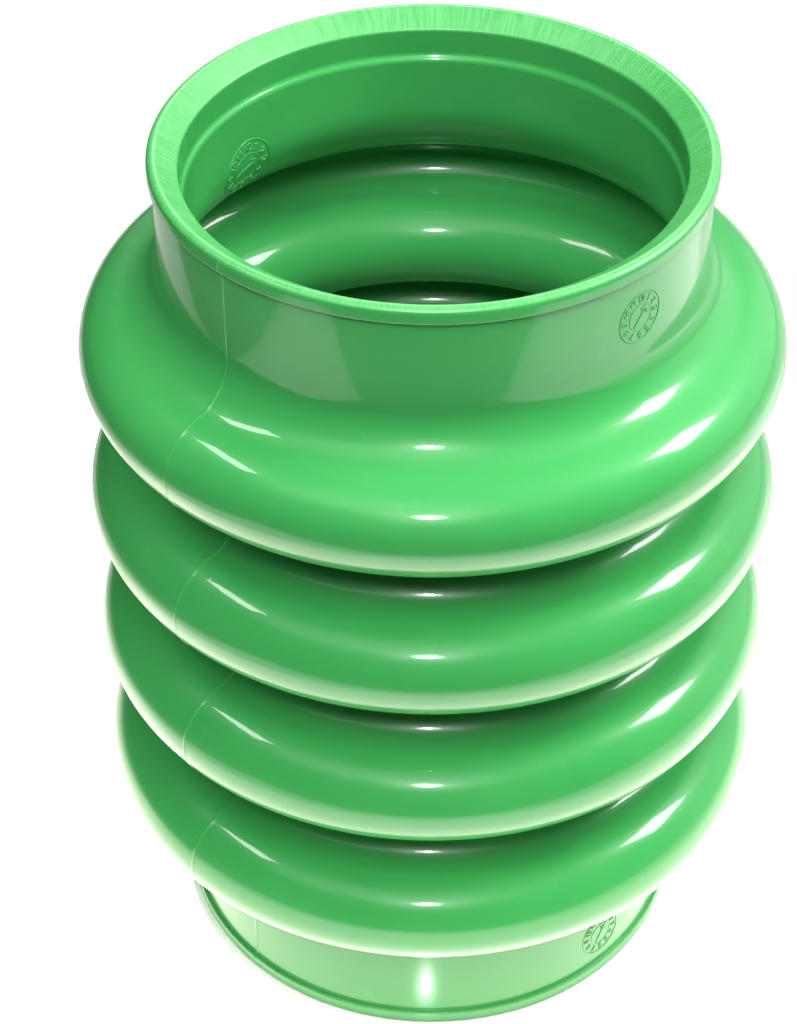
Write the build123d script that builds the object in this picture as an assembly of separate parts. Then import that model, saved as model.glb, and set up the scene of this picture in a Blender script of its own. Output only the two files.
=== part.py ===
from build123d import *
import os
from math import atan2, degrees, sqrt

# Rubber bellows boot: one moulded tube turned about Z, with four round convolutions between
# two plain collars. It stands on its lower end, and both ends are alike. The origin is the
# centre of the lower end and +Z runs along the axis. Millimetres.

# Driving dimensions
bore_d = 140.0           # inside the collars, where they grip what they seal on
collar_wall = 8.7
collar_h = 33.3          # plain outside of a collar, from the end to the shoulder

convolutions = 4
pitch = 50.5             # from one convolution to the next
crown_d = 206.0          # outside, over the convolutions
crown_arc_r = 15.6       # outside radius of a convolution's round crown
root_d = 158.6           # outside, over the valleys between convolutions
fold_wall = 6.2          # wall of the convolutions
shoulder_arc_r = 15.0    # outside hollow that carries a collar into its convolution
throat_arc_r = 24.0      # the same turn on the inside

lip_proud = 1.3          # the bead around the end stands this far off the collar
lip_h = 5.0              # straight side of the bead
lip_round_r = 0.6        # edge of the bead, towards the collar
lip_foot_r = 0.4         # hollow where the bead meets the collar

rim_edge_r = 0.5         # outer edge of the end face
rim_land = 1.6           # flat ring at that edge, on which the boot stands
rim_drop = 4.6           # inside the ring the end face is dished by this much
rim_round_r = 1.5        # inner edge of the end face

mouth_relief = 1.2       # between the end face and the step, the wall is cut back this far
step_depth = 12.9        # from the end to the start of the step down to the bore
step_h = 1.5             # straight slope of the step
step_round_r = 2.0       # rounding where the slope starts and ends

collar_r = bore_d / 2 + collar_wall
lip_r = collar_r + lip_proud
mouth_r = bore_d / 2 + mouth_relief
crown_centre_r = crown_d / 2 - crown_arc_r
half_pitch = pitch / 2


def valley_arc_radius():
    """Outside radius of a valley arc that reaches root_d and touches the crowns beside it."""
    gap = crown_centre_r - root_d / 2
    return (gap ** 2 + half_pitch ** 2 - crown_arc_r ** 2) / (2 * (crown_arc_r + gap))


def collar_turn(wall_r, turn_r, crown_r):
    """Arc that leaves a collar wall upright and ends where it touches the first crown arc.

    Returns the distance of the arc's centre from the axis, the height from it up to the
    centre of the crown arc, and the slope of the line that joins the two, in degrees.
    """
    centre_r = wall_r + turn_r
    reach = centre_r - crown_centre_r
    rise = sqrt((turn_r + crown_r) ** 2 - reach ** 2)
    return centre_r, rise, degrees(atan2(rise, reach))


valley_arc_r = valley_arc_radius()
valley_centre_r = root_d / 2 + valley_arc_r
touch_angle = degrees(atan2(half_pitch, valley_centre_r - crown_centre_r))
first_z = collar_h + collar_turn(collar_r, shoulder_arc_r, crown_arc_r)[1]
height = 2 * first_z + (convolutions - 1) * pitch


def arc(centre_r, centre_z, radius, start, end):
    """Arc in the half section (x is the distance from the axis, y the height), in degrees."""
    return CenterArc((centre_r, centre_z), radius, start, end - start)


def folded_wall(wall_r, turn_r, depth):
    """One face of the wall between the collars, depth below the outside face.

    wall_r is the collar's face that it starts from. Returns its edges from the lower collar
    to the upper one, and the height at which they start.
    """
    crown_r = crown_arc_r - depth
    valley_r = valley_arc_r + depth
    centre_r, rise, slope = collar_turn(wall_r, turn_r, crown_r)
    start_z = first_z - rise
    edges = [arc(centre_r, start_z, turn_r, 180, 180 - slope)]
    for n in range(convolutions):
        z = first_z + n * pitch
        below = slope if n == 0 else touch_angle
        above = slope if n == convolutions - 1 else touch_angle
        edges.append(arc(crown_centre_r, z, crown_r, -below, above))
        if n < convolutions - 1:
            edges.append(arc(valley_centre_r, z + half_pitch, valley_r,
                             180 + touch_angle, 180 - touch_angle))
    edges.append(arc(centre_r, height - start_z, turn_r, 180 + slope, 180))
    return edges, start_z


def collar_end(inner_h, from_end):
    """Collar wall from its outer turn, over the bead and the end face, to its inner turn.

    inner_h is the distance of the inner turn from the end, and from_end makes a distance
    from the end into a height.
    """
    corners = [
        (lip_foot_r, collar_r, lip_h),
        (lip_round_r, lip_r, lip_h),
        (rim_edge_r, lip_r, 0),
        (rim_round_r, lip_r - rim_land, 0),
        (rim_round_r, mouth_r, rim_drop),
        (step_round_r, mouth_r, step_depth),
        (step_round_r, bore_d / 2, step_depth + step_h),
    ]
    points = [(collar_r, collar_h)] + [(r, d) for _, r, d in corners] + [(bore_d / 2, inner_h)]
    rounds = [corner[0] for corner in corners]
    return FilletPolyline([(r, from_end(d)) for r, d in points], radius=rounds).edges()


def bellows_boot():
    """The half section, turned once round the axis."""
    outside, _ = folded_wall(collar_r, shoulder_arc_r, 0)
    inside, inner_h = folded_wall(bore_d / 2, throat_arc_r, fold_wall)
    lower_end = collar_end(inner_h, lambda depth: depth)
    upper_end = collar_end(inner_h, lambda depth: height - depth)
    return revolve(Plane.XZ * make_face(outside + upper_end + inside + lower_end), axis=Axis.Z)


os.makedirs("parts", exist_ok=True)
boot = bellows_boot()
boot.label = "bellows_boot"
export_step(boot, "parts/bellows_boot.step")
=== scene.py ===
"""Rubber bellows boot: its finished surface and mould marks, a stage for it, and its camera.

Every length is in metres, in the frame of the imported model: the origin is the centre of the
lower end, +Z runs along the axis, and -Y points to the viewer.
"""

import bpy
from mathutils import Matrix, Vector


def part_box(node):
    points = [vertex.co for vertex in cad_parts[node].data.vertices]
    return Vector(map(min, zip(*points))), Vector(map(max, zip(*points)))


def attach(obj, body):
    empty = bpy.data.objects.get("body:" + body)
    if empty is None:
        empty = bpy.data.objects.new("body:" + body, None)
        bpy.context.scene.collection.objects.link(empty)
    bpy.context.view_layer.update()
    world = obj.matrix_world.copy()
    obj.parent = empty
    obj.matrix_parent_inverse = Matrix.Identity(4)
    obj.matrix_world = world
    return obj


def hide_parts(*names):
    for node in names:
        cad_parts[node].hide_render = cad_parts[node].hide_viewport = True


bl_info = {
    "name": "Rubber Bellows Boot",
    "version": (1, 0, 0),
    "blender": (4, 5, 0),
    "location": "3D Viewport > Sidebar > Bellows Boot",
    "description": "Builds a moulded rubber bellows boot with its mould marks, and a stage for it",
    "category": "Object",
}

from math import atan2, cos, degrees, pi, radians, sin, sqrt

import bpy
import numpy as np
from bpy.props import FloatProperty, FloatVectorProperty, IntProperty, PointerProperty
from mathutils import Matrix, Vector

NODE = "bellows_boot"

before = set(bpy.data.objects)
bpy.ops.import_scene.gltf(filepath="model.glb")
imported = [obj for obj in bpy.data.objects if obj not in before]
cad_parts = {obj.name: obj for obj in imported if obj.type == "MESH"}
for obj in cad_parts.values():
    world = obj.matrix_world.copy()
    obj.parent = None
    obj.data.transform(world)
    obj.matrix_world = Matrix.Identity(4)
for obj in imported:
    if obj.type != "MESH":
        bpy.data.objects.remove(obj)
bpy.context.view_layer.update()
_, node_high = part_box(NODE)


# Properties --------------------------------------------------------------------------------


def length(name, description, default):
    """A length that a user may change."""
    return FloatProperty(
        name=name,
        description=description,
        default=default,
        min=0.0,
        precision=5,
        subtype="DISTANCE",
        unit="LENGTH",
    )


def bearing(name, description, default):
    """A direction round the axis, from the viewer's side towards +X, given in degrees."""
    return FloatProperty(
        name=name,
        description=description,
        default=radians(default),
        subtype="ANGLE",
        unit="ROTATION",
    )


def share(name, description, default):
    """A factor from 0 to 1."""
    return FloatProperty(
        name=name, description=description, default=default, min=0.0, max=1.0, subtype="FACTOR"
    )


def brightness(name, description, default):
    """The radiance of a light or of a lit surface, in W/(m^2 sr)."""
    return FloatProperty(name=name, description=description, default=default, min=0.0)


def colour(name, description, default):
    """A linear RGB colour."""
    return FloatVectorProperty(
        name=name,
        description=description,
        default=default,
        size=3,
        min=0.0,
        max=1.0,
        subtype="COLOR",
    )


class BootShape(bpy.types.PropertyGroup):
    """Sizes of the moulded boot."""

    bore_d: length("Bore", "Diameter inside the collars", 0.140)
    collar_wall: length("Collar wall", "Wall of the collars", 0.0087)
    collar_h: length("Collar height", "From the end to the shoulder", 0.0333)
    convolutions: IntProperty(
        name="Convolutions", description="Number of round folds", default=4, min=1
    )
    pitch: length("Pitch", "From one convolution to the next", 0.0505)
    crown_d: length("Crown", "Diameter over the convolutions", round(2 * node_high.x, 4))
    crown_arc_r: length("Crown arc", "Outside radius of a convolution's round crown", 0.0156)
    root_d: length("Root", "Diameter over the valleys between convolutions", 0.1586)
    fold_wall: length("Fold wall", "Wall of the convolutions", 0.0062)
    shoulder_arc_r: length("Shoulder arc", "Outside hollow above and below the folds", 0.015)
    throat_arc_r: length("Throat arc", "The same turn on the inside", 0.024)
    lip_proud: length("Bead stands off", "How far the bead stands off the collar", 0.0013)
    lip_h: length("Bead height", "Straight side of the bead", 0.005)
    lip_round_r: length("Bead edge", "Edge of the bead, towards the collar", 0.0006)
    lip_foot_r: length("Bead foot", "Hollow where the bead meets the collar", 0.0004)
    rim_edge_r: length("Rim edge", "Outer edge of the end face", 0.002)
    rim_land: length("Rim land", "Flat ring at the outer edge of the end face", 0.0026)
    rim_drop: length("Rim drop", "Depth of the dish in the end face", 0.0046)
    rim_round_r: length("Rim round", "Inner edge of the end face", 0.0015)
    mouth_relief: length("Mouth relief", "How far the wall is cut back in the mouth", 0.0012)
    step_depth: length("Step depth", "From the end to the step down to the bore", 0.0129)
    step_h: length("Step height", "Straight slope of the step", 0.0015)
    step_round_r: length("Step round", "Rounding where the slope starts and ends", 0.002)


class MouldMarks(bpy.types.PropertyGroup):
    """Marks that the mould leaves on the boot."""

    seam_bearing: bearing("Parting line", "Bearing of one parting line; the other is opposite", -45)
    seam_half: length("Parting line half width", "Half the width of a parting line", 0.0006)
    seam_proud: length("Parting line height", "How far a parting line stands proud", 0.00016)
    nib_proud: length("Nib height", "Height of the small nibs of flash on the parting line", 0.0004)
    date_d: length("Date mark", "Diameter of the date marks outside the collars", 0.016)
    date_inside_d: length("Inside date mark", "Diameter of the date mark inside the collar", 0.020)
    date_bearing: bearing("Date mark bearing", "Bearing of the date marks outside", 44.8)
    date_inside_bearing: bearing("Inside mark bearing", "Bearing of the date mark inside", -128)
    date_upper: length("Upper mark", "From the upper end to the middle of the mark outside", 0.0188)
    date_lower: length("Lower mark", "From the lower end to the middle of the mark outside", 0.0172)
    date_inside: length("Inside mark", "From the end of the bore to the middle of the mark", 0.0055)
    date_proud: length("Date mark height", "How far the date marks stand proud", 0.00028)


class BootFinish(bpy.types.PropertyGroup):
    """Colour and gloss of the rubber."""

    green: colour("Rubber", "Colour of the moulded face", (0.036, 0.266, 0.062))
    green_deep: colour("Rubber, deep", "Colour where the mix is darker", (0.030, 0.246, 0.057))
    green_cut: colour("Trimmed rubber", "Colour of the trimmed end faces", (0.040, 0.262, 0.058))
    gloss_rough: share("Gloss", "Roughness of the moulded face's thin skin", 0.05)
    haze_rough: share("Haze", "Roughness of the rubber under that skin", 0.32)
    skin: share("Skin", "How much the thin glossy skin shows", 0.5)
    cut_rough: share("Trim gloss", "Roughness of the trimmed end faces", 0.36)


class Studio(bpy.types.PropertyGroup):
    """Floor, backdrop and lights. The paper is measured from the boot's axis."""

    floor_r: length("Floor", "Half the side of the square floor", 4.0)
    floor_pale: colour("Paper", "Colour of the paper that the boot stands on", (0.93, 0.92, 0.88))
    paper_front: length("Paper in front", "How far the white paper reaches in front", 0.36)
    paper_left: length("Paper on the left", "How far the white paper reaches on the left", 0.39)
    glow_r: length("Glow radius", "Radius of the light under the paper", 0.30)
    glow: brightness("Paper glow", "The light that comes up through the white paper", 3.1)
    sky: brightness("Sky", "The even light from all round", 0.04)
    flash: brightness("Flash", "The small light over the camera, in gloss alone", 450.0)
    flash_rim: brightness("Flash reflector", "The reflector round the flash, in gloss alone", 22.0)
    glare: brightness("Table glare", "The flash mirrored in the table, in gloss alone", 26.0)
    left: brightness("Left strip", "The narrow light on the left", 20.0)
    right: brightness("Right light", "The small light on the right", 28.0)
    front_box: brightness("Front softbox", "The large soft light in front, not mirrored", 12.5)
    right_box: brightness("Right softbox", "The soft light on the right, not mirrored", 4.3)
    top_box: brightness("Top softbox", "The soft light above, not mirrored", 5.0)
    back_box: brightness("Back softbox", "The soft light behind, to the right, not mirrored", 3.0)
    back_strip: brightness("Back strip", "The narrow light behind, in gloss alone", 15.0)
    tent: brightness("Light tent", "The lit walls that the gloss reflects", 1.25)
    backdrop: brightness("Backdrop", "The even white behind the boot, as the camera sees it", 1.0)


# Outline of the wall -----------------------------------------------------------------------


def unit_rows(vectors):
    """Each row divided by its length."""
    return vectors / np.linalg.norm(vectors, axis=1)[:, None]


def arc(centre_r, centre_z, radius, start, end, step=6.0):
    """Points centre + radius * (cos a, sin a), a running evenly from start to end, in degrees."""
    count = max(3, int(round(abs(end - start) / step)) + 1)
    a = np.radians(np.linspace(start, end, count))
    return np.column_stack((centre_r + radius * np.cos(a), centre_z + radius * np.sin(a)))


def rounded(corners, radii, guard=0.0002):
    """The path through corners, with an arc tangent to both runs in place of each inner corner.

    Where the path turns by t, the arc starts radius * tan(t / 2) before the corner. A guard
    point stands on the straight run just outside each end of an arc, to keep the run flat.
    """
    c = np.array(corners, float)
    run = np.diff(c, axis=0)
    size = np.linalg.norm(run, axis=1)
    u = run / size[:, None]
    across = u[:-1, 0] * u[1:, 1] - u[:-1, 1] * u[1:, 0]
    turn = np.arctan2(across, np.sum(u[:-1] * u[1:], axis=1))
    reach = np.concatenate(([0.0], np.array(radii) * np.tan(np.abs(turn) / 2), [0.0]))
    gap = np.minimum(guard, (size - reach[:-1] - reach[1:]) / 3)
    path = [c[:1]]
    for k, radius in enumerate(radii):
        start = c[k + 1] - u[k] * reach[k + 1]
        side = np.array((-u[k, 1], u[k, 0])) * np.sign(turn[k])
        centre = start + side * radius
        first = degrees(atan2(*(start - centre)[::-1]))
        bend = arc(*centre, radius, first, first + degrees(turn[k]), 15.0)
        path += [start[None] - u[k] * gap[k], bend, bend[-1:] + u[k + 1] * gap[k + 1]]
    path.append(c[-1:])
    return np.concatenate(path)


def collar_turn(wall_r, turn_r, crown_r, crown_centre_r):
    """Arc that leaves a collar wall upright and ends where it touches the first crown arc.

    Returns its centre's distance from the axis, the height from there up to the crown arc's
    centre, which is the third side of a triangle on turn_r + crown_r, and the slope of the
    line that joins the centres, in degrees.
    """
    centre_r = wall_r + turn_r
    reach = centre_r - crown_centre_r
    rise = sqrt((turn_r + crown_r) ** 2 - reach ** 2)
    return centre_r, rise, degrees(atan2(rise, reach))


def boot_outline(s):
    """The closed half section: (distance from the axis, height) and its outward normals.

    It runs up the outside, over the upper end, down the inside and round the lower end. The
    outside and the inside are tangent arcs: a crown and a valley for each fold, with centres
    that both faces share, and a turn into each collar. Every 3 mm there is one more point
    where it keeps clear of the others. A normal is square to the mean of the two directions
    that meet at its point.

    Also returns the distance of each point along the outline, the outline's whole length, the
    boot's height, and the distances at which the outside, the upper end and the inside end.
    """
    collar_r = s.bore_d / 2 + s.collar_wall
    lip_r = collar_r + s.lip_proud
    mouth_r = s.bore_d / 2 + s.mouth_relief
    crown_centre_r = s.crown_d / 2 - s.crown_arc_r
    half = s.pitch / 2
    gap = crown_centre_r - s.root_d / 2
    valley_arc_r = (gap ** 2 + half ** 2 - s.crown_arc_r ** 2) / (2 * (s.crown_arc_r + gap))
    valley_centre_r = s.root_d / 2 + valley_arc_r
    touch = degrees(atan2(half, valley_centre_r - crown_centre_r))
    shoulder_rise = collar_turn(collar_r, s.shoulder_arc_r, s.crown_arc_r, crown_centre_r)[1]
    first_z = s.collar_h + shoulder_rise
    height = 2 * first_z + (s.convolutions - 1) * s.pitch

    def folds(wall_r, turn_r, depth):
        """One face of the folded wall, depth below the outside face, from bottom to top."""
        crown_r = s.crown_arc_r - depth
        valley_r = valley_arc_r + depth
        centre_r, rise, slope = collar_turn(wall_r, turn_r, crown_r, crown_centre_r)
        start_z = first_z - rise
        points = [arc(centre_r, start_z, turn_r, 180, 180 - slope)]
        for n in range(s.convolutions):
            z = first_z + n * s.pitch
            below = slope if n == 0 else touch
            above = slope if n == s.convolutions - 1 else touch
            points.append(arc(crown_centre_r, z, crown_r, -below, above)[1:])
            if n < s.convolutions - 1:
                valley = arc(valley_centre_r, z + half, valley_r, 180 + touch, 180 - touch, 7.0)
                points.append(valley[1:])
        points.append(arc(centre_r, height - start_z, turn_r, 180 + slope, 180)[1:])
        return np.concatenate(points), start_z

    outside, _ = folds(collar_r, s.shoulder_arc_r, 0.0)
    inside, inner_h = folds(s.bore_d / 2, s.throat_arc_r, s.fold_wall)
    lower_end = rounded(
        [
            (collar_r, s.collar_h),
            (collar_r, s.lip_h),
            (lip_r, s.lip_h),
            (lip_r, 0),
            (lip_r - s.rim_land, 0),
            (mouth_r, s.rim_drop),
            (mouth_r, s.step_depth),
            (s.bore_d / 2, s.step_depth + s.step_h),
            (s.bore_d / 2, inner_h),
        ],
        [
            s.lip_foot_r,
            s.lip_round_r,
            s.rim_edge_r,
            s.rim_round_r,
            s.rim_round_r,
            s.step_round_r,
            s.step_round_r,
        ],
    )
    upper_end = lower_end * (1, -1) + (0, height)
    loop = np.concatenate((outside, upper_end[1:-1], inside[::-1], lower_end[::-1][1:-1]))
    ends = np.cumsum([len(outside) - 1, len(upper_end) - 1, len(inside)])

    closed = np.concatenate((loop, loop[:1]))
    along = np.concatenate(([0], np.cumsum(np.linalg.norm(np.diff(closed, axis=0), axis=1))))
    ends = along[ends]
    spacing, clearance = 0.003, 0.0009
    extra = np.arange(spacing / 2, along[-1], spacing)
    beside = np.searchsorted(along, extra)
    clear = np.minimum(extra - along[beside - 1], along[beside] - extra) > clearance
    at = np.sort(np.concatenate((along[:-1], extra[clear])))
    points = np.column_stack([np.interp(at, along, closed[:, k]) for k in (0, 1)])
    ahead = unit_rows(np.roll(points, -1, axis=0) - points)
    behind = unit_rows(points - np.roll(points, 1, axis=0))
    tangent = unit_rows(ahead + behind)
    normals = np.column_stack((tangent[:, 1], -tangent[:, 0]))
    return points, normals, at, along[-1], height, ends


# Meshes ------------------------------------------------------------------------------------


def mesh_piece(name, points, faces, materials, uv=None, masks=None, slots=None):
    """A smooth-shaded mesh object from an array of points and an array, or arrays, of faces.

    uv has a pair for each corner of each face, masks have a number for each point, and slots
    has each face's place in the list of materials.
    """
    mesh = bpy.data.meshes.new(name)
    groups = [f for f in (faces if isinstance(faces, list) else [faces]) if len(f)]
    corners = np.concatenate([f.ravel() for f in groups]).astype(np.int32)
    sizes = np.concatenate([np.full(len(f), f.shape[1]) for f in groups]).astype(np.int32)
    starts = np.concatenate(([0], np.cumsum(sizes)[:-1])).astype(np.int32)
    mesh.vertices.add(len(points))
    mesh.vertices.foreach_set("co", np.ascontiguousarray(points, np.float32).ravel())
    mesh.loops.add(len(corners))
    mesh.loops.foreach_set("vertex_index", corners)
    mesh.polygons.add(len(sizes))
    mesh.polygons.foreach_set("loop_start", starts)
    mesh.polygons.foreach_set("loop_total", sizes)
    mesh.update(calc_edges=True)
    mesh.validate()
    mesh.shade_smooth()
    if uv is not None:
        mesh.uv_layers.new(name="wall").data.foreach_set("uv", uv.astype(np.float32).ravel())
    for label, values in (masks or {}).items():
        layer = mesh.attributes.new(label, "FLOAT", "POINT")
        layer.data.foreach_set("value", values.astype(np.float32).ravel())
    for material in materials if isinstance(materials, list) else [materials]:
        mesh.materials.append(material)
    if slots is not None:
        mesh.polygons.foreach_set("material_index", slots.astype(np.int32))
    piece = bpy.data.objects.new(name, mesh)
    bpy.context.scene.collection.objects.link(piece)
    return piece


def angle_between(a, b):
    """The angle from b to a, from -pi to pi."""
    return (a - b + pi) % (2 * pi) - pi


def seam_columns(lines, count, mean_r):
    """Angles round the axis: count even ones, with finer ones in place of those near each line.

    The finer ones stand beside[k] to each side of the line, measured at the radius mean_r.
    """
    even = np.arange(count) * 2 * pi / count
    beside = np.array((0.00018, 0.00036, 0.00055, 0.0008, 0.0011)) / mean_r
    fine = np.concatenate((-beside[::-1], [0.0], beside))
    clear_angle = 0.018
    away = np.min([np.abs(angle_between(even, line)) for line in lines], axis=0)
    near = np.concatenate([line + fine for line in lines]) % (2 * pi)
    return np.sort(np.concatenate((even[away > clear_angle], near)))


# Distances up the outside, from the lower shoulder, at which nibs stand on the two lines.
NIBS = [(0.0135, 0.0925, 0.1035, 0.182, 0.231, 0.2545, 0.3005), (0.046, 0.139, 0.214, 0.289)]


def line_height(at, off, which, marks):
    """Height of a parting line at distance at up the outline and distance off to its side.

    It is half a cosine wave over the distance off, times the height along the line. That rises
    and falls with three slow sines, and each nib adds a bell curve.
    """
    wave = 0.5 * (1 + np.cos(pi * np.clip(off / marks.seam_half, 0, 1)))
    slow = 0.78 + 0.14 * np.sin(61 * at + which) + 0.10 * np.sin(173 * at + 2 * which)
    slow += 0.08 * np.sin(419 * at)
    nibs = np.zeros(len(at))
    nib_reach = 0.0011
    for spot in NIBS[which]:
        nibs += np.exp(-(((at - spot) / nib_reach) ** 2))
    return wave * (marks.seam_proud * slow + marks.nib_proud * nibs)[:, None]


def end_mask(shape, from_end, facing):
    """1 on the dished end faces and 0 elsewhere, for each point of the outline.

    from_end is how far the point is from the nearer end, and facing is the share of its normal
    along the axis. The mask is 0 where that share is small, as on the bead's side. Below the
    dish it fades out over 0.4 mm.
    """
    least_facing, below, fade = 0.35, 0.0006, 0.0004
    return np.clip((shape.rim_drop + below - from_end) / fade, 0, 1) * (facing > least_facing)


def boot_wall(shape, marks):
    """Points, faces, UVs, masks and material slots of the whole wall, turned once round the axis.

    At distance s along the outline and angle a round the axis, the point is (r cos a, r sin a,
    z), moved along the outward normal by the height of the parting line. The lines are only on
    the outside, from bead to bead. The slot is 1 on the trimmed end faces and 0 elsewhere.
    """
    outline, normals, at, total, height, ends = boot_outline(shape)
    lines = [marks.seam_bearing - pi / 2, marks.seam_bearing + pi / 2]
    even_columns, mean_depth = 152, 0.008
    a = seam_columns(lines, even_columns, shape.crown_d / 2 - mean_depth)
    r, z = outline[:, :1], outline[:, 1:]
    from_end = np.minimum(z, height - z)
    end_face = end_mask(shape, from_end, np.abs(normals[:, 1:]))
    hair, edge_clear, full_share = 1e-5, 0.0008, 0.8
    on_end = (at < ends[1]) | (at > ends[2])
    on_bead = on_end & (r[:, 0] > shape.bore_d / 2 + shape.collar_wall - hair)
    outside = ((at < ends[0]) | on_bead)[:, None]
    marked = outside * (1 - end_face) * (from_end > edge_clear)
    rise = np.zeros((len(r), len(a)))
    for which, line in enumerate(lines):
        rise += line_height(at, np.abs(angle_between(a[None], line)) * r, which, marks) * marked
    seam = np.clip(rise / (full_share * marks.seam_proud), 0, 1)
    radial = r + rise * normals[:, :1]
    points = np.stack((radial * np.cos(a), radial * np.sin(a), z + rise * normals[:, 1:]), axis=-1)

    rows, columns = rise.shape
    i, j = np.meshgrid(np.arange(rows), np.arange(columns), indexing="ij")
    i2, j2 = (i + 1) % rows, (j + 1) % columns
    faces = [i * columns + j, i * columns + j2, i2 * columns + j2, i2 * columns + j]
    faces = np.stack(faces, axis=-1).reshape(-1, 4)
    u = np.append(a, 2 * pi + a[0]) * shape.bore_d / 2
    v = np.append(at, total)
    uv = np.stack((u[[j, j + 1, j + 1, j]], v[[i, i, i + 1, i + 1]]), axis=-1)
    uv = np.moveaxis(uv, 0, -2).reshape(-1, 2)
    trimmed = (end_face[:, 0] > 0.5) & (np.roll(end_face[:, 0], -1) > 0.5)
    slots = np.repeat(trimmed, columns)
    return points.reshape(-1, 3), faces, uv, {"parting_line": seam}, slots


def clockwise(path, turn):
    """A flat path turned clockwise about the origin, by turn in degrees."""
    a = radians(turn)
    return path @ np.array(((cos(a), -sin(a)), (sin(a), cos(a))))


def bow(x, y, rx, ry, start, end, count=11):
    """Points on an ellipse about (x, y), from start to end in degrees."""
    a = np.radians(np.linspace(start, end, count))
    return np.column_stack((x + rx * np.cos(a), y + ry * np.sin(a)))


def digit_strokes(digit):
    """Strokes of a plain digit in a box 0.6 wide and 1 high, each with whether it is closed."""

    def ring(x, y, rx, ry):
        return bow(x, y, rx, ry, 0, 337.5, 16), True

    def line(*parts):
        return np.concatenate([np.atleast_2d(part) for part in parts]).astype(float), False

    stem = bow(0.24, -0.2, 0.52, 0.70, 180, 100, 8)
    shapes = {
        "0": [ring(0, 0, 0.28, 0.5)],
        "1": [line((-0.18, 0.26), (0.04, 0.5), (0.04, -0.5))],
        "2": [line(bow(0, 0.22, 0.27, 0.28, 165, -35), (-0.28, -0.5), (0.3, -0.5))],
        "3": [
            line(bow(-0.02, 0.24, 0.26, 0.26, 150, -80), bow(-0.02, -0.24, 0.29, 0.26, 80, -150))
        ],
        "4": [line((0.14, -0.5), (0.14, 0.5), (-0.3, -0.2), (0.3, -0.2))],
        "5": [line((0.26, 0.5), (-0.2, 0.5), (-0.23, 0.06), bow(0, -0.18, 0.28, 0.32, 125, -145))],
        "6": [ring(0, -0.2, 0.28, 0.3), line(stem)],
        "7": [line((-0.28, 0.5), (0.28, 0.5), (-0.06, -0.5))],
        "8": [ring(0, 0.26, 0.22, 0.24), ring(0, -0.24, 0.28, 0.26)],
        "9": [ring(0, 0.2, 0.28, 0.3), line(-stem)],
    }
    return shapes[digit]


def rib(path, closed, half_width, proud, sunk):
    """A raised rib along a flat path: points (x, y, height) and its quads and end triangles.

    Its section is half an ellipse, half_width across and proud high, on straight sides that
    go down to sunk below the surface. An open rib tapers to a point beyond each end.
    """
    if closed:
        step = np.roll(path, -1, axis=0) - np.roll(path, 1, axis=0)
        width = np.ones(len(path))
    else:
        lead, tail = unit_rows(np.array((path[0] - path[1], path[-1] - path[-2])))
        beyond = np.array(((0.9,), (0.6,))) * half_width
        taper = np.array((0.45, 0.8))
        width = np.concatenate((taper, np.ones(len(path)), taper[::-1]))
        path = np.concatenate((path[0] + lead * beyond, path, path[-1] + tail * beyond[::-1]))
        step = np.gradient(path, axis=0)
    step = unit_rows(step)
    across = np.column_stack((step[:, 1], -step[:, 0]))
    a = np.linspace(0, pi, 7)
    side = np.concatenate(([1.0], np.cos(a), [-1.0])) * half_width
    up = np.concatenate(([-sunk], proud * np.sin(a), [-sunk]))
    flat = path[:, None] + across[:, None] * (side[None, :, None] * width[:, None, None])
    lift = np.where(up > 0, up * width[:, None], up)
    points = np.concatenate((flat, lift[:, :, None]), axis=2).reshape(-1, 3)
    rows, columns = lift.shape
    i, j = np.meshgrid(np.arange(rows if closed else rows - 1), np.arange(columns), indexing="ij")
    i2, j2 = (i + 1) % rows, (j + 1) % columns
    quads = [i * columns + j, i2 * columns + j, i2 * columns + j2, i * columns + j2]
    quads = np.stack(quads, axis=-1).reshape(-1, 4)
    if closed:
        return points, quads, np.empty((0, 3), int)
    ends = points.reshape(rows, columns, 3)[[0, -1]].mean(axis=1)
    k = np.arange(columns)
    first, last = len(points), len(points) + 1
    base = (rows - 1) * columns
    start_fan = np.column_stack((np.full(columns, first), k, (k + 1) % columns))
    end_fan = np.column_stack((np.full(columns, last), base + (k + 1) % columns, base + k))
    return np.concatenate((points, ends)), quads, np.concatenate((start_fan, end_fan))


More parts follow.
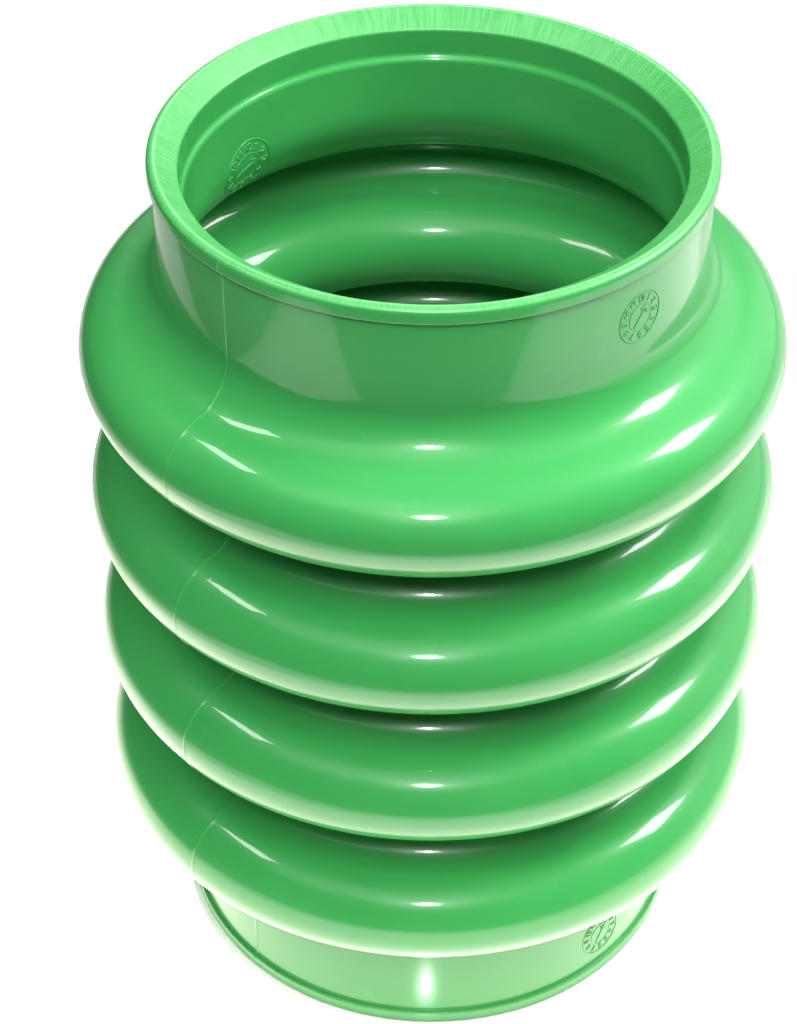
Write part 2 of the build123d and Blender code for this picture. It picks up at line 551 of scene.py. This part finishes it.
def date_mark(diameter, proud, arrow_turn):
    """A mould date mark, flat: a round border, the months 1 to 12 and an arrow in an inner ring.

    Returns points (x, y, height) about its centre, quads and triangles. arrow_turn is how far
    the arrow is turned clockwise, in degrees. Inside, every length is a share of the radius,
    and a rib is its path, whether it is closed, its half width and its height's share of proud.
    """
    border_r, inner_r, months_r = 0.97, 0.52, 0.745
    digit_high, digit_apart = 0.215, 0.165
    shaft = np.array(((0, -0.40), (0, -0.2), (0, 0.0), (0, 0.2), (0, 0.38)))
    head = np.array(((-0.17, 0.25), (-0.08, 0.34), (0, 0.42), (0.08, 0.34), (0.17, 0.25)))
    ribs = [
        (bow(0, 0, border_r, border_r, 0, 355, 72), True, 0.030, 0.8),
        (bow(0, 0, inner_r, inner_r, 0, 352.5, 48), True, 0.020, 0.55),
        (clockwise(shaft, arrow_turn), False, 0.062, 1.0),
        (clockwise(head, arrow_turn), False, 0.045, 1.0),
    ]
    for month in range(1, 13):
        for n, digit in enumerate(str(month)):
            shift = (n - (len(str(month)) - 1) / 2) * digit_apart
            for stroke, closed in digit_strokes(digit):
                placed = clockwise(stroke * digit_high + (shift, months_r), 30 * month)
                ribs.append((placed, closed, 0.040, 1.0))
    unit = diameter / 2
    made = [
        rib(path * unit, closed, half * unit, high * proud, proud)
        for path, closed, half, high in ribs
    ]
    counts = np.concatenate(([0], np.cumsum([len(m[0]) for m in made])[:-1]))
    return (
        np.concatenate([m[0] for m in made]),
        np.concatenate([m[1] + c for m, c in zip(made, counts)]),
        np.concatenate([m[2] + c for m, c in zip(made, counts)]),
    )


def on_wall(flat, outline, normals, at, angle, place, hand):
    """Lays flat points (x, y, height) on the wall.

    y runs up the outline from the distance place, x runs round the axis from angle, measured
    on the radius there, and height goes along the outward normal. hand is +1 outside the boot
    and -1 inside, where the outline runs downwards and the viewer's right is the other way.
    """
    s = place + hand * flat[:, 1]
    r, z = (np.interp(s, at, outline[:, k]) for k in (0, 1))
    nr, nz = (np.interp(s, at, normals[:, k]) for k in (0, 1))
    a = angle + hand * flat[:, 0] / np.interp(place, at, outline[:, 0])
    radial = r + nr * flat[:, 2]
    return np.column_stack((radial * np.cos(a), radial * np.sin(a), z + nz * flat[:, 2]))


# Materials ---------------------------------------------------------------------------------


def new_tree(name):
    """A material with an empty node tree, and short ways to add and link its nodes."""
    material = bpy.data.materials.new(name)
    material.use_nodes = True
    tree = material.node_tree
    tree.nodes.clear()

    def add(kind, **settings):
        node = tree.nodes.new(kind)
        for key, value in settings.items():
            setattr(node, key, value)
        return node

    return material, add, tree.links.new


def mix_colours(add, link, factor, first, second):
    """A Mix node's colour. factor is a socket, and each colour is a socket or a value."""
    node = add("ShaderNodeMix", data_type="RGBA")
    link(factor, node.inputs[0])
    for socket, given in ((node.inputs[6], first), (node.inputs[7], second)):
        if isinstance(given, bpy.types.NodeSocket):
            link(given, socket)
        else:
            socket.default_value = (*given, 1.0)
    return node.outputs[2]


def mapped(add, link, value, source, target):
    """value, taken from the range source to the range target and held at the ends."""
    node = add("ShaderNodeMapRange")
    link(value, node.inputs["Value"])
    node.inputs["From Min"].default_value, node.inputs["From Max"].default_value = source
    node.inputs["To Min"].default_value, node.inputs["To Max"].default_value = target
    return node.outputs["Result"]


def noise(add, link, vector, scale, detail=2.0, roughness=0.5):
    """A noise texture's value."""
    node = add("ShaderNodeTexNoise")
    link(vector, node.inputs["Vector"])
    node.inputs["Scale"].default_value = scale
    node.inputs["Detail"].default_value = detail
    node.inputs["Roughness"].default_value = roughness
    return node.outputs["Fac"]


def bump(add, link, height, distance, strength, below=None):
    """A Bump node's normal, on top of another one."""
    node = add("ShaderNodeBump")
    node.inputs["Distance"].default_value = distance
    node.inputs["Strength"].default_value = strength
    link(height, node.inputs["Height"])
    if below is not None:
        link(below, node.inputs["Normal"])
    return node.outputs["Normal"]


def paler(rgb, factor, lift):
    """A colour times factor plus lift, and 1 at most."""
    return tuple(min(1.0, part * factor + lift) for part in rgb)


def moulded_rubber(finish):
    """Green rubber with a thin glossy skin over a haze, faint clouds, and a paler parting line."""
    material, add, link = new_tree("glossy green rubber")
    place = add("ShaderNodeTexCoord").outputs["Object"]
    parting = add("ShaderNodeAttribute", attribute_name="parting_line").outputs["Fac"]
    green, deep = tuple(finish.green), tuple(finish.green_deep)
    pale = paler(green, 1.22, 0.008)
    cloud = noise(add, link, place, scale=17.0, detail=3.0, roughness=0.55)
    mottle = noise(add, link, place, scale=140.0, detail=3.0, roughness=0.6)
    body = mix_colours(add, link, mapped(add, link, cloud, (0.35, 0.65), (0.0, 1.0)), deep, green)
    body = mix_colours(add, link, mapped(add, link, mottle, (0.62, 0.80), (0.0, 0.30)), body, pale)
    body = mix_colours(add, link, mapped(add, link, parting, (0.0, 1.0), (0.0, 0.55)), body, pale)

    smear = noise(add, link, place, scale=38.0, detail=4.0, roughness=0.6)
    hazy = (0.9 * finish.haze_rough, 1.1 * finish.haze_rough)
    haze = mapped(add, link, smear, (0.3, 0.7), hazy)

    swell = noise(add, link, place, scale=210.0, detail=2.0, roughness=0.45)
    skin = bump(add, link, swell, distance=0.00004, strength=0.35)
    pits = add("ShaderNodeTexVoronoi", feature="F1")
    link(place, pits.inputs["Vector"])
    pits.inputs["Scale"].default_value = 95.0
    pits.inputs["Randomness"].default_value = 1.0
    speck = mapped(add, link, pits.outputs["Distance"], (0.03, 0.075), (1.0, 0.0))
    normal = bump(add, link, speck, distance=0.00012, strength=0.3, below=skin)

    shader = add("ShaderNodeBsdfPrincipled")
    shader.inputs["IOR"].default_value = 1.5
    shader.inputs["Specular IOR Level"].default_value = 0.25
    shader.inputs["Coat Weight"].default_value = finish.skin
    shader.inputs["Coat Roughness"].default_value = finish.gloss_rough
    link(body, shader.inputs["Base Color"])
    link(haze, shader.inputs["Roughness"])
    link(normal, shader.inputs["Normal"])
    link(normal, shader.inputs["Coat Normal"])
    link(shader.outputs["BSDF"], add("ShaderNodeOutputMaterial").inputs["Surface"])
    return material


def trimmed_rubber(finish):
    """Green rubber where the end was trimmed: duller, patchy, and scratched along the radius."""
    material, add, link = new_tree("trimmed green rubber")
    place = add("ShaderNodeTexCoord").outputs["Object"]
    streaks = add("ShaderNodeMapping")
    link(add("ShaderNodeUVMap", uv_map="wall").outputs["UV"], streaks.inputs["Vector"])
    streaks.inputs["Scale"].default_value = (1.0, 0.06, 1.0)
    scratch = noise(add, link, streaks.outputs["Vector"], scale=1500.0, detail=4.0, roughness=0.65)
    patches = noise(add, link, place, scale=55.0, detail=2.0, roughness=0.5)
    green, cut = tuple(finish.green), tuple(finish.green_cut)
    pale = paler(cut, 1.25, 0.02)
    body = mix_colours(add, link, mapped(add, link, scratch, (0.40, 0.70), (0.0, 1.0)), cut, pale)
    patchy = mapped(add, link, patches, (0.45, 0.70), (0.0, 0.45))
    body = mix_colours(add, link, patchy, body, green)
    dull = (0.80 * finish.cut_rough, 1.25 * finish.cut_rough)
    rough = mapped(add, link, scratch, (0.3, 0.7), dull)

    shader = add("ShaderNodeBsdfPrincipled")
    shader.inputs["IOR"].default_value = 1.5
    shader.inputs["Specular IOR Level"].default_value = 0.85
    link(body, shader.inputs["Base Color"])
    link(rough, shader.inputs["Roughness"])
    link(bump(add, link, scratch, distance=0.00015, strength=0.8), shader.inputs["Normal"])
    link(shader.outputs["BSDF"], add("ShaderNodeOutputMaterial").inputs["Surface"])
    return material


def floor_paper(studio):
    """Matt pale floor: white paper near the boot, and painted shade at half its colour behind it
    and away from it.
    """
    material, add, link = new_tree("pale matt floor with painted shade")
    place = add("ShaderNodeTexCoord").outputs["Object"]
    paper = add("ShaderNodeAttribute", attribute_name="paper").outputs["Fac"]
    grain = noise(add, link, place, scale=900.0, detail=2.0, roughness=0.6)
    white = tuple(studio.floor_pale)
    # The darker colour is painted shade: the floor behind the boot and away from it, at half the
    # paper's colour.
    dull, painted_shade_grey = paler(white, 0.985, 0.0), paler(white, 0.5, 0.0)
    white = mix_colours(add, link, mapped(add, link, grain, (0.3, 0.7), (0.0, 1.0)), dull, white)
    shader = add("ShaderNodeBsdfPrincipled")
    shader.inputs["Roughness"].default_value = 0.9
    shader.inputs["Specular IOR Level"].default_value = 0.1
    link(mix_colours(add, link, paper, painted_shade_grey, white), shader.inputs["Base Color"])
    link(shader.outputs["BSDF"], add("ShaderNodeOutputMaterial").inputs["Surface"])
    return material


def glow_by_mask(add, link):
    """The light of an Emission node that is as strong as the mesh's mask of radiance."""
    shader = add("ShaderNodeEmission")
    mask = add("ShaderNodeAttribute", attribute_name="radiance").outputs["Fac"]
    link(mask, shader.inputs["Strength"])
    return shader.outputs["Emission"]


def lit_cloth():
    """Cloth of the light tent, as bright as its mask says."""
    material, add, link = new_tree("lit tent cloth")
    material.cycles.emission_sampling = "NONE"
    link(glow_by_mask(add, link), add("ShaderNodeOutputMaterial").inputs["Surface"])
    return material


def glare_film():
    """Clear film that adds light, as much as its mask says."""
    material, add, link = new_tree("glare film")
    material.cycles.emission_sampling = "NONE"
    both = add("ShaderNodeAddShader")
    link(add("ShaderNodeBsdfTransparent").outputs["BSDF"], both.inputs[0])
    link(glow_by_mask(add, link), both.inputs[1])
    link(both.outputs["Shader"], add("ShaderNodeOutputMaterial").inputs["Surface"])
    return material


def flat_light(name, radiance, tint=(1.0, 1.0, 1.0)):
    """A surface that shows one even brightness."""
    material, add, link = new_tree(name)
    shader = add("ShaderNodeEmission")
    shader.inputs["Color"].default_value = (*tint, 1.0)
    shader.inputs["Strength"].default_value = radiance
    link(shader.outputs["Emission"], add("ShaderNodeOutputMaterial").inputs["Surface"])
    return material


def matt_black():
    """Black for painted shade: sheets on the floor that the boot reflects and is lit by, unseen by
    the camera.
    """
    material, add, link = new_tree("black painted shade")
    shader = add("ShaderNodeBsdfDiffuse")
    shader.inputs["Color"].default_value = (0.02, 0.02, 0.02, 1.0)
    link(shader.outputs["BSDF"], add("ShaderNodeOutputMaterial").inputs["Surface"])
    return material


# Stage -------------------------------------------------------------------------------------

# Heights of the flat sheets, which lie over one another on the table.
FLOOR_Z, GLOW_Z, SHADE_Z, SWEEP_Z, GLARE_Z = -0.0001, 0.0002, 0.0004, 0.0006, 0.0008


def direction(az, el):
    """Unit vector at azimuth az from -Y towards +X, and elevation el, in degrees."""
    a, e = radians(az), radians(el)
    return Vector((cos(e) * sin(a), -cos(e) * cos(a), sin(e)))


def grid_faces(rows, columns):
    """Quads of an open grid of points."""
    i, j = np.meshgrid(np.arange(rows - 1), np.arange(columns - 1), indexing="ij")
    k = i * columns + j
    return np.stack((k, k + columns, k + columns + 1, k + 1), axis=-1).reshape(-1, 4)


def smooth(value, low, high):
    """0 below low, 1 above high, and 3 t^2 - 2 t^3 of the way t between them."""
    t = np.clip((value - low) / (high - low), 0.0, 1.0)
    return t * t * (3.0 - 2.0 * t)


def floor_sheet(name, half, front, left, material):
    """A flat square (half u |u|, half v |v|), u and v from -1 to 1, so its middle is finer.

    Its mask is 1 on the white paper and 0 where the floor shows painted shade. The paper ends
    at y = front and at x = left, fades out from 0.5 m to 0.7 m away from the axis, and fades
    out over 0.1 m behind the axis, which is 0.25 m further back on the right. These fades are
    painted shade: the floor behind the boot and beyond the light round it, darkened as if unlit.
    """
    u = np.linspace(-1, 1, 181)
    x, y = np.meshgrid(half * u * np.abs(u), half * u * np.abs(u), indexing="ij")
    points = np.column_stack((x.ravel(), y.ravel(), np.full(x.size, FLOOR_Z)))
    edge = 0.02
    paper = smooth(x, left - edge, left + edge) * smooth(y, front - edge, front + edge)
    # Painted shade: the paper fades out away from the axis and behind it, where the floor is taken
    # to be in shadow.
    near = smooth(-np.hypot(x, y), -0.7, -0.5)
    back = 0.25 * smooth(x, 0.2, 0.35)
    masks = {"paper": paper * near * smooth(back - y, -0.1, 0.0)}
    return mesh_piece(name, points, grid_faces(*x.shape), material, masks=masks)


def flat_sheet(name, low, high, height, material):
    """A flat rectangle between two corners (x, y)."""
    points = np.array([(x, y, height) for x in (low[0], high[0]) for y in (low[1], high[1])])
    return mesh_piece(name, points, np.array([[0, 2, 3, 1]]), material)


def glare_sheet(name, middle, reach, level, material):
    """A flat patch, middle + reach (u, v), whose light falls off as exp(-u^2 - v^2)."""
    side = np.linspace(-2.4, 2.4, 41)
    u, v = np.meshgrid(side, side, indexing="ij")
    height = np.full_like(u, GLARE_Z)
    points = np.stack((middle[0] + reach[0] * u, middle[1] + reach[1] * v, height), axis=-1)
    masks = {"radiance": level * np.exp(-u ** 2 - v ** 2)}
    return mesh_piece(name, points.reshape(-1, 3), grid_faces(*u.shape), material, masks=masks)


def ring_sheet(name, inner, outer, height, material):
    """A flat ring (r sin a, -r cos a, height), with r from inner to outer, all the way round."""
    turn = np.radians(np.linspace(-180, 180, 73))
    r, a = np.meshgrid(np.linspace(inner, outer, 5), turn, indexing="ij")
    points = np.stack((r * np.sin(a), -r * np.cos(a), np.full_like(r, height)), axis=-1)
    return mesh_piece(name, points.reshape(-1, 3), grid_faces(*r.shape), material)


def tent_radiance(az, el, level):
    """Brightness of the tent by azimuth and elevation, in degrees.

    Its right wall is bright, a panel in its ceiling is bright over the front, and its back is
    dimmer. The left and the front, where the camera stands, stay dark.
    """
    right = smooth(az, 68, 100) * smooth(-az, -165, -140) * smooth(-el, -72, -50)
    ceiling = smooth(-np.abs(az + 22), -62, -30) * smooth(el, 40, 52) * smooth(-el, -82, -64)
    back = smooth(np.abs(az), 145, 170) * smooth(-el, -60, -30)
    back_share, least_share = 0.65, 0.05
    dim = np.maximum(back_share * back, least_share)
    return level * np.maximum(np.maximum(right, ceiling), dim)


def dome_sheet(name, radius, material, level=1.0):
    """A bowl over the floor: (r cos e sin a, -r cos e cos a, r sin e), seen from within."""
    e, a = np.meshgrid(np.linspace(89.9, 0, 46), np.linspace(-180, 180, 145), indexing="ij")
    c, s = np.cos(np.radians(e)), np.sin(np.radians(e))
    points = np.stack((c * np.sin(np.radians(a)), -c * np.cos(np.radians(a)), s), axis=-1) * radius
    faces = grid_faces(*e.shape)[:, ::-1]
    masks = {"radiance": tent_radiance(a, e, level)}
    return mesh_piece(name, points.reshape(-1, 3), faces, material, masks=masks)


def panel_light(name, az, el, distance, size, radiance, aim=(0, 0, 0.16)):
    """An area light that far from aim, facing it, of that width, height and radiance.

    Its power is the radiance times its area times pi. With one width and height it is round.
    """
    light = bpy.data.lights.new(name, "AREA")
    light.shape = "RECTANGLE" if size[0] != size[1] else "DISK"
    light.size, light.size_y = size
    area = size[0] * size[1] * (pi / 4 if light.shape == "DISK" else 1)
    light.energy = radiance * area * pi
    lamp = bpy.data.objects.new(name, light)
    way = direction(az, el)
    facing = way.to_track_quat("Z", "Y").to_matrix().to_4x4()
    lamp.matrix_world = Matrix.Translation(Vector(aim) + way * distance) @ facing
    lamp.visible_camera = False
    bpy.context.scene.collection.objects.link(lamp)
    return lamp


def studio_lights(studio):
    """The lights: some are in the gloss alone, and the softboxes are not in the gloss."""
    folds, rim = (0, -0.09, 0.2), (0, 0.07, 0.27)
    for lamp in (
        panel_light("flash", -1, 42.5, 0.80, (0.036, 0.050), studio.flash, folds),
        panel_light("flash reflector", -1, 43.5, 0.83, (0.14, 0.14), studio.flash_rim, folds),
        panel_light("back strip", 180, 42, 1.5, (0.5, 0.3), studio.back_strip, rim),
    ):
        lamp.visible_diffuse = False
    panel_light("left strip", -89, 54.5, 1.2, (0.38, 0.11), studio.left)
    panel_light("right light", 96, 42, 1.2, (0.34, 0.33), studio.right)
    for lamp in (
        panel_light("front softbox", -8, 54, 1.5, (1.6, 0.5), studio.front_box),
        panel_light("right softbox", 76, 55, 1.5, (1.2, 0.9), studio.right_box),
        panel_light("top softbox", 100, 80, 1.5, (1.2, 1.1), studio.top_box),
        panel_light("back softbox", 135, 32, 1.5, (0.9, 0.8), studio.back_box),
    ):
        lamp.visible_glossy = False


def even_sky(strength):
    """A world that is one even white."""
    world = bpy.data.worlds.new("even sky")
    world.use_nodes = True
    sky = world.node_tree.nodes["Background"]
    sky.inputs["Color"].default_value = (1.0, 1.0, 1.0, 1.0)
    sky.inputs["Strength"].default_value = strength
    return world


def view_camera():
    """The camera: its place, its turn, its dip and its lean, and a 98.5 mm lens."""
    place = (0.0, -0.66694, 0.69342)
    yaw, dip, lean = -0.01525, 0.68777, -0.00496
    ahead = Vector((sin(yaw) * cos(dip), cos(yaw) * cos(dip), -sin(dip)))
    right = Vector((cos(yaw), -sin(yaw), 0.0))
    up = right.cross(ahead)
    right, up = cos(lean) * right + sin(lean) * up, cos(lean) * up - sin(lean) * right
    data = bpy.data.cameras.new("view camera")
    data.clip_start, data.clip_end = 0.01, 20.0
    data.sensor_width = 36.0
    data.lens = 98.53
    camera = bpy.data.objects.new("view camera", data)
    turn = Matrix((right, up, -ahead)).transposed().to_4x4()
    camera.matrix_world = Matrix.Translation(place) @ turn
    bpy.context.scene.collection.objects.link(camera)
    bpy.context.scene.camera = camera


# Operators ---------------------------------------------------------------------------------


class BOOT_OT_wall(bpy.types.Operator):
    """Build the moulded wall of the boot, with its parting lines"""

    bl_idname = "bellows_boot.wall"
    bl_label = "Boot Wall"

    def execute(self, context):
        scene = context.scene
        points, faces, uv, masks, slots = boot_wall(scene.boot_shape, scene.mould_marks)
        tolerance = 0.0005
        if abs(points[:, 2].max() - node_high.z) > tolerance:
            raise RuntimeError("the boot's height differs from the packed model's")
        finishes = [moulded_rubber(scene.boot_finish), trimmed_rubber(scene.boot_finish)]
        piece = mesh_piece("boot_wall", points, faces, finishes, uv, masks, slots)
        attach(piece, "root")
        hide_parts(NODE)
        return {"FINISHED"}


class BOOT_OT_date_marks(bpy.types.Operator):
    """Build the three mould date marks, two outside the collars and one inside"""

    bl_idname = "bellows_boot.date_marks"
    bl_label = "Date Marks"

    def execute(self, context):
        shape, marks = context.scene.boot_shape, context.scene.mould_marks
        outline, normals, at, total, _, ends = boot_outline(shape)
        material = bpy.data.materials["glossy green rubber"]
        upper = ends[0] + shape.collar_h - marks.date_upper
        lower = total - shape.collar_h + marks.date_lower
        inner = ends[1] + marks.date_inside
        lower_bearing = marks.date_bearing - radians(0.6)
        # Place along the outline, bearing, side of the wall, diameter and turn of the arrow.
        sites = {
            "date_mark_upper": (upper, marks.date_bearing, 1, marks.date_d, 38),
            "date_mark_lower": (lower, lower_bearing, 1, marks.date_d, 33),
            "date_mark_inside": (inner, marks.date_inside_bearing, -1, marks.date_inside_d, 70),
        }
        for name, (where, way, hand, size, arrow_turn) in sites.items():
            flat, quads, fans = date_mark(size, marks.date_proud, arrow_turn)
            points = on_wall(flat, outline, normals, at, way - pi / 2, where, hand)
            piece = mesh_piece(name, points, [quads, fans], material)
            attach(piece, "root")
        return {"FINISHED"}


class BOOT_OT_stage(bpy.types.Operator):
    """Build the floor, the backdrop, the lights, the even sky and the camera"""

    bl_idname = "bellows_boot.stage"
    bl_label = "Stage and Camera"

    def execute(self, context):
        scene, studio = context.scene, context.scene.studio
        front, left = -studio.paper_front, -studio.paper_left
        floor = floor_sheet("floor", studio.floor_r, front, left, floor_paper(studio))

        # Painted shade: black sheets on the floor in front and on the left. They are unseen by the
        # camera and cast no shadow, and they darken what the boot reflects and the light it gets
        # from the floor there.
        cloth, reach = matt_black(), 2.5
        shade_sheets = [
            flat_sheet("front_shade_sheet", (-reach, -reach), (reach, front), SHADE_Z, cloth),
            flat_sheet("left_shade_sheet", (-reach, front), (left, reach), SHADE_Z, cloth),
        ]
        for shade_sheet in shade_sheets:
            shade_sheet.visible_camera = shade_sheet.visible_shadow = False

        foot_r, backdrop_r, tent_r = 0.082, 0.9 * studio.floor_r, 2.8
        lit_paper = flat_light("light through the paper", studio.glow, (1.0, 0.97, 0.84))
        glow = ring_sheet("paper_glow", foot_r, studio.glow_r, GLOW_Z, lit_paper)
        glow.visible_glossy = glow.visible_shadow = False

        white = flat_light("white backdrop", studio.backdrop)
        sweep = ring_sheet("backdrop_floor", studio.glow_r, backdrop_r, SWEEP_Z, white)
        backdrop = dome_sheet("backdrop", backdrop_r, white)
        for sheet in (sweep, backdrop):
            sheet.visible_diffuse = sheet.visible_glossy = sheet.visible_shadow = False

        tent = dome_sheet("light_tent", tent_r, lit_cloth(), studio.tent)
        middle, spread = (-0.0015, -0.0935), (0.0032, 0.0062)
        glare = glare_sheet("table_glare", middle, spread, studio.glare, glare_film())
        for sheet in (tent, glare):
            sheet.visible_camera = sheet.visible_diffuse = sheet.visible_shadow = False

        studio_lights(studio)
        scene.world = even_sky(studio.sky)
        scene.view_settings.view_transform = "Standard"
        view_camera()
        return {"FINISHED"}


class BOOT_PT_panel(bpy.types.Panel):
    """The boot's operators and properties in the 3D view's sidebar"""

    bl_idname = "BOOT_PT_panel"
    bl_label = "Bellows Boot"
    bl_space_type = "VIEW_3D"
    bl_region_type = "UI"
    bl_category = "Bellows Boot"

    def draw(self, context):
        layout = self.layout
        for operator in OPERATORS:
            layout.operator(operator.bl_idname)
        for label in GROUPS:
            group = getattr(context.scene, label)
            box = layout.box()
            box.label(text=label.replace("_", " ").capitalize())
            for key in group.__annotations__:
                box.prop(group, key)


GROUPS = {
    "boot_shape": BootShape,
    "mould_marks": MouldMarks,
    "boot_finish": BootFinish,
    "studio": Studio,
}
OPERATORS = (BOOT_OT_wall, BOOT_OT_date_marks, BOOT_OT_stage)
CLASSES = (*GROUPS.values(), *OPERATORS, BOOT_PT_panel)


def register():
    """Registers the classes and their properties."""
    for cls in CLASSES:
        bpy.utils.register_class(cls)
    for label, group in GROUPS.items():
        setattr(bpy.types.Scene, label, PointerProperty(type=group))


def unregister():
    """Removes the properties and the classes."""
    for label in GROUPS:
        delattr(bpy.types.Scene, label)
    for cls in reversed(CLASSES):
        bpy.utils.unregister_class(cls)


def main():
    """Builds everything in order."""
    register()
    bpy.ops.bellows_boot.wall()
    bpy.ops.bellows_boot.date_marks()
    bpy.ops.bellows_boot.stage()


if __name__ == "__main__":
    main()
